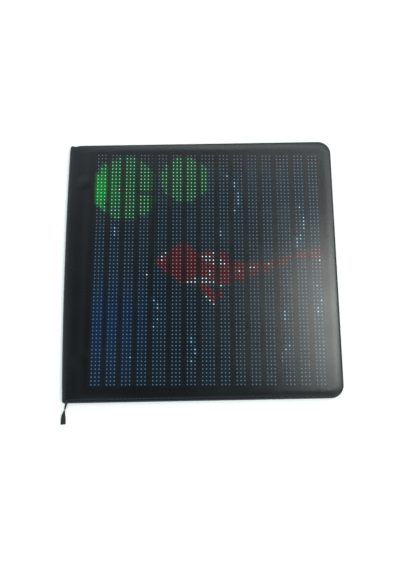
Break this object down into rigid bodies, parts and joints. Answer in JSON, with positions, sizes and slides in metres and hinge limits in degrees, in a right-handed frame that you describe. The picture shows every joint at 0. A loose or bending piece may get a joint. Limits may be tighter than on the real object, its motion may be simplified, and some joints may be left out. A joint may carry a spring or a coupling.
{
  "type": "flexible led dot matrix",
  "caption": "Square flexible lamp matrix sewn into a thin black leather-look sleeve, picture showing through the skin, with a taped spine and a twisted loose tape end.",
  "frame": {"origin": "on the surface that the sleeve lies on, under the middle of the picture", "axes": "+X along the rows of lamps, +Y up the picture, +Z out of the picture"},
  "size_m": [0.2992, 0.3112, 0.008],
  "materials": {
    "front_leather": "satin grain, let through by the lamps",
    "back_leather": "fine grain",
    "tape_web": "close woven",
    "eyelet_nickel": "dull nickel plate",
    "foam": "fine closed cells",
    "magnet_nickel": "nickel plate",
    "board_black": "black solder resist",
    "lamp_resin": "clear resin over white",
    "chip_black": "moulded",
    "capacitor_ochre": "moulded",
    "socket_nylon": "moulded nylon",
    "plug_nylon": "moulded nylon",
    "ribbon_film": "film over flat strands",
    "wire_jacket": "smooth jacket, one red and one black in each pair",
    "board_green": "green solder resist",
    "board_blue": "blue solder resist",
    "shield_tin": "tinned sheet",
    "ferrite": "dull"
  },
  "bodies": {
    "root": {"front_cover": "front_leather", "back_cover": "back_leather", "spine_tape": "tape_web", "lead_eyelet": "eyelet_nickel", "foam_pad": "foam", "border_pad": "foam", "spine_magnets": "magnet_nickel", "upper_lamp_board": "board_black", "lower_lamp_board": "board_black", "upper_left_lamps": "lamp_resin", "upper_right_lamps": "lamp_resin", "lower_left_lamps": "lamp_resin", "lower_right_lamps": "lamp_resin", "upper_driver_chips": "chip_black", "lower_driver_chips": "chip_black", "upper_row_chips": "chip_black", "lower_row_chips": "chip_black", "upper_buffer_chips": "chip_black", "lower_buffer_chips": "chip_black", "upper_capacitors": "capacitor_ochre", "lower_capacitors": "capacitor_ochre", "upper_input_socket": "socket_nylon", "upper_output_socket": "socket_nylon", "lower_input_socket": "socket_nylon", "lower_output_socket": "socket_nylon", "upper_supply_socket": "socket_nylon", "lower_supply_socket": "socket_nylon", "feed_ribbon": "ribbon_film", "link_ribbon": "ribbon_film", "upper_supply_plug": "plug_nylon", "lower_supply_plug": "plug_nylon", "upper_supply_wires": "wire_jacket", "lower_supply_wires": "wire_jacket", "controller_board": "board_green", "controller_processor": "chip_black", "controller_memory": "chip_black", "radio_board": "board_blue", "radio_shield": "shield_tin", "controller_data_socket": "socket_nylon", "controller_supply_sockets": "socket_nylon", "controller_supply_plugs": "plug_nylon", "lead_inlet_socket": "socket_nylon", "controller_choke": "ferrite", "controller_capacitors": "capacitor_ochre", "controller_crystal": "shield_tin"}
  },
  "joints": []
}
